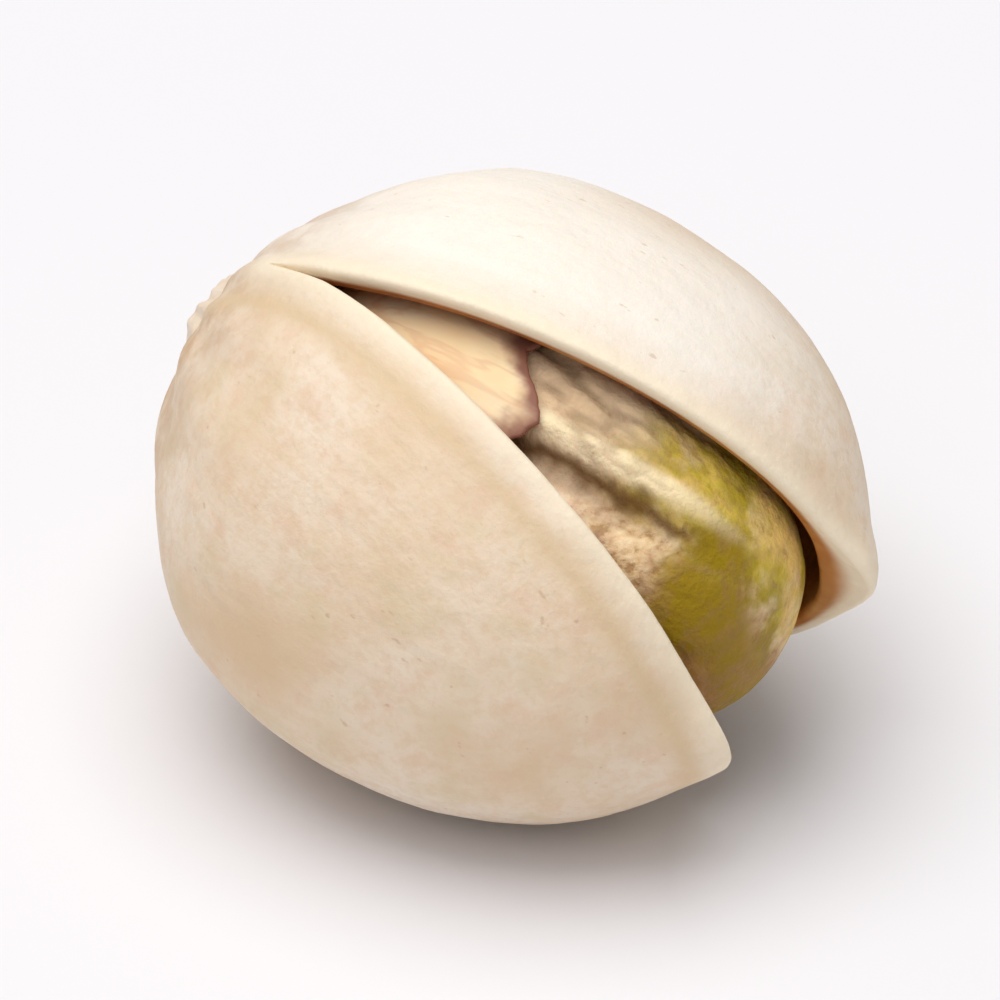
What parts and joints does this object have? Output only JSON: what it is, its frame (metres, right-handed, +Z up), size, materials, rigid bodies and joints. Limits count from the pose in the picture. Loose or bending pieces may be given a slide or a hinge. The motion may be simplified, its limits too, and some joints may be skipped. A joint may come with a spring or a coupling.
{
  "type": "pistachio in shell",
  "caption": "Pistachio nut in its cream shell, split along both seams and gaping at the tip round a green kernel half covered by papery skin.",
  "frame": {"origin": "middle of the bounding box's base, on the surface that the nut lies on", "axes": "+X from the stem end towards the tip, +Z up, the gaping upper seam turned a little towards -Y"},
  "size_m": [0.0188, 0.0166, 0.014],
  "materials": {
    "shell": "smooth dry cream shell, ochre inside",
    "kernel": "wrinkled olive green seed with grey brown patches",
    "seed_skin": "thin papery tan skin, purple at its torn edge"
  },
  "bodies": {
    "root": {"shell": "shell", "kernel": "kernel", "seed_skin": "seed_skin"}
  },
  "joints": []
}
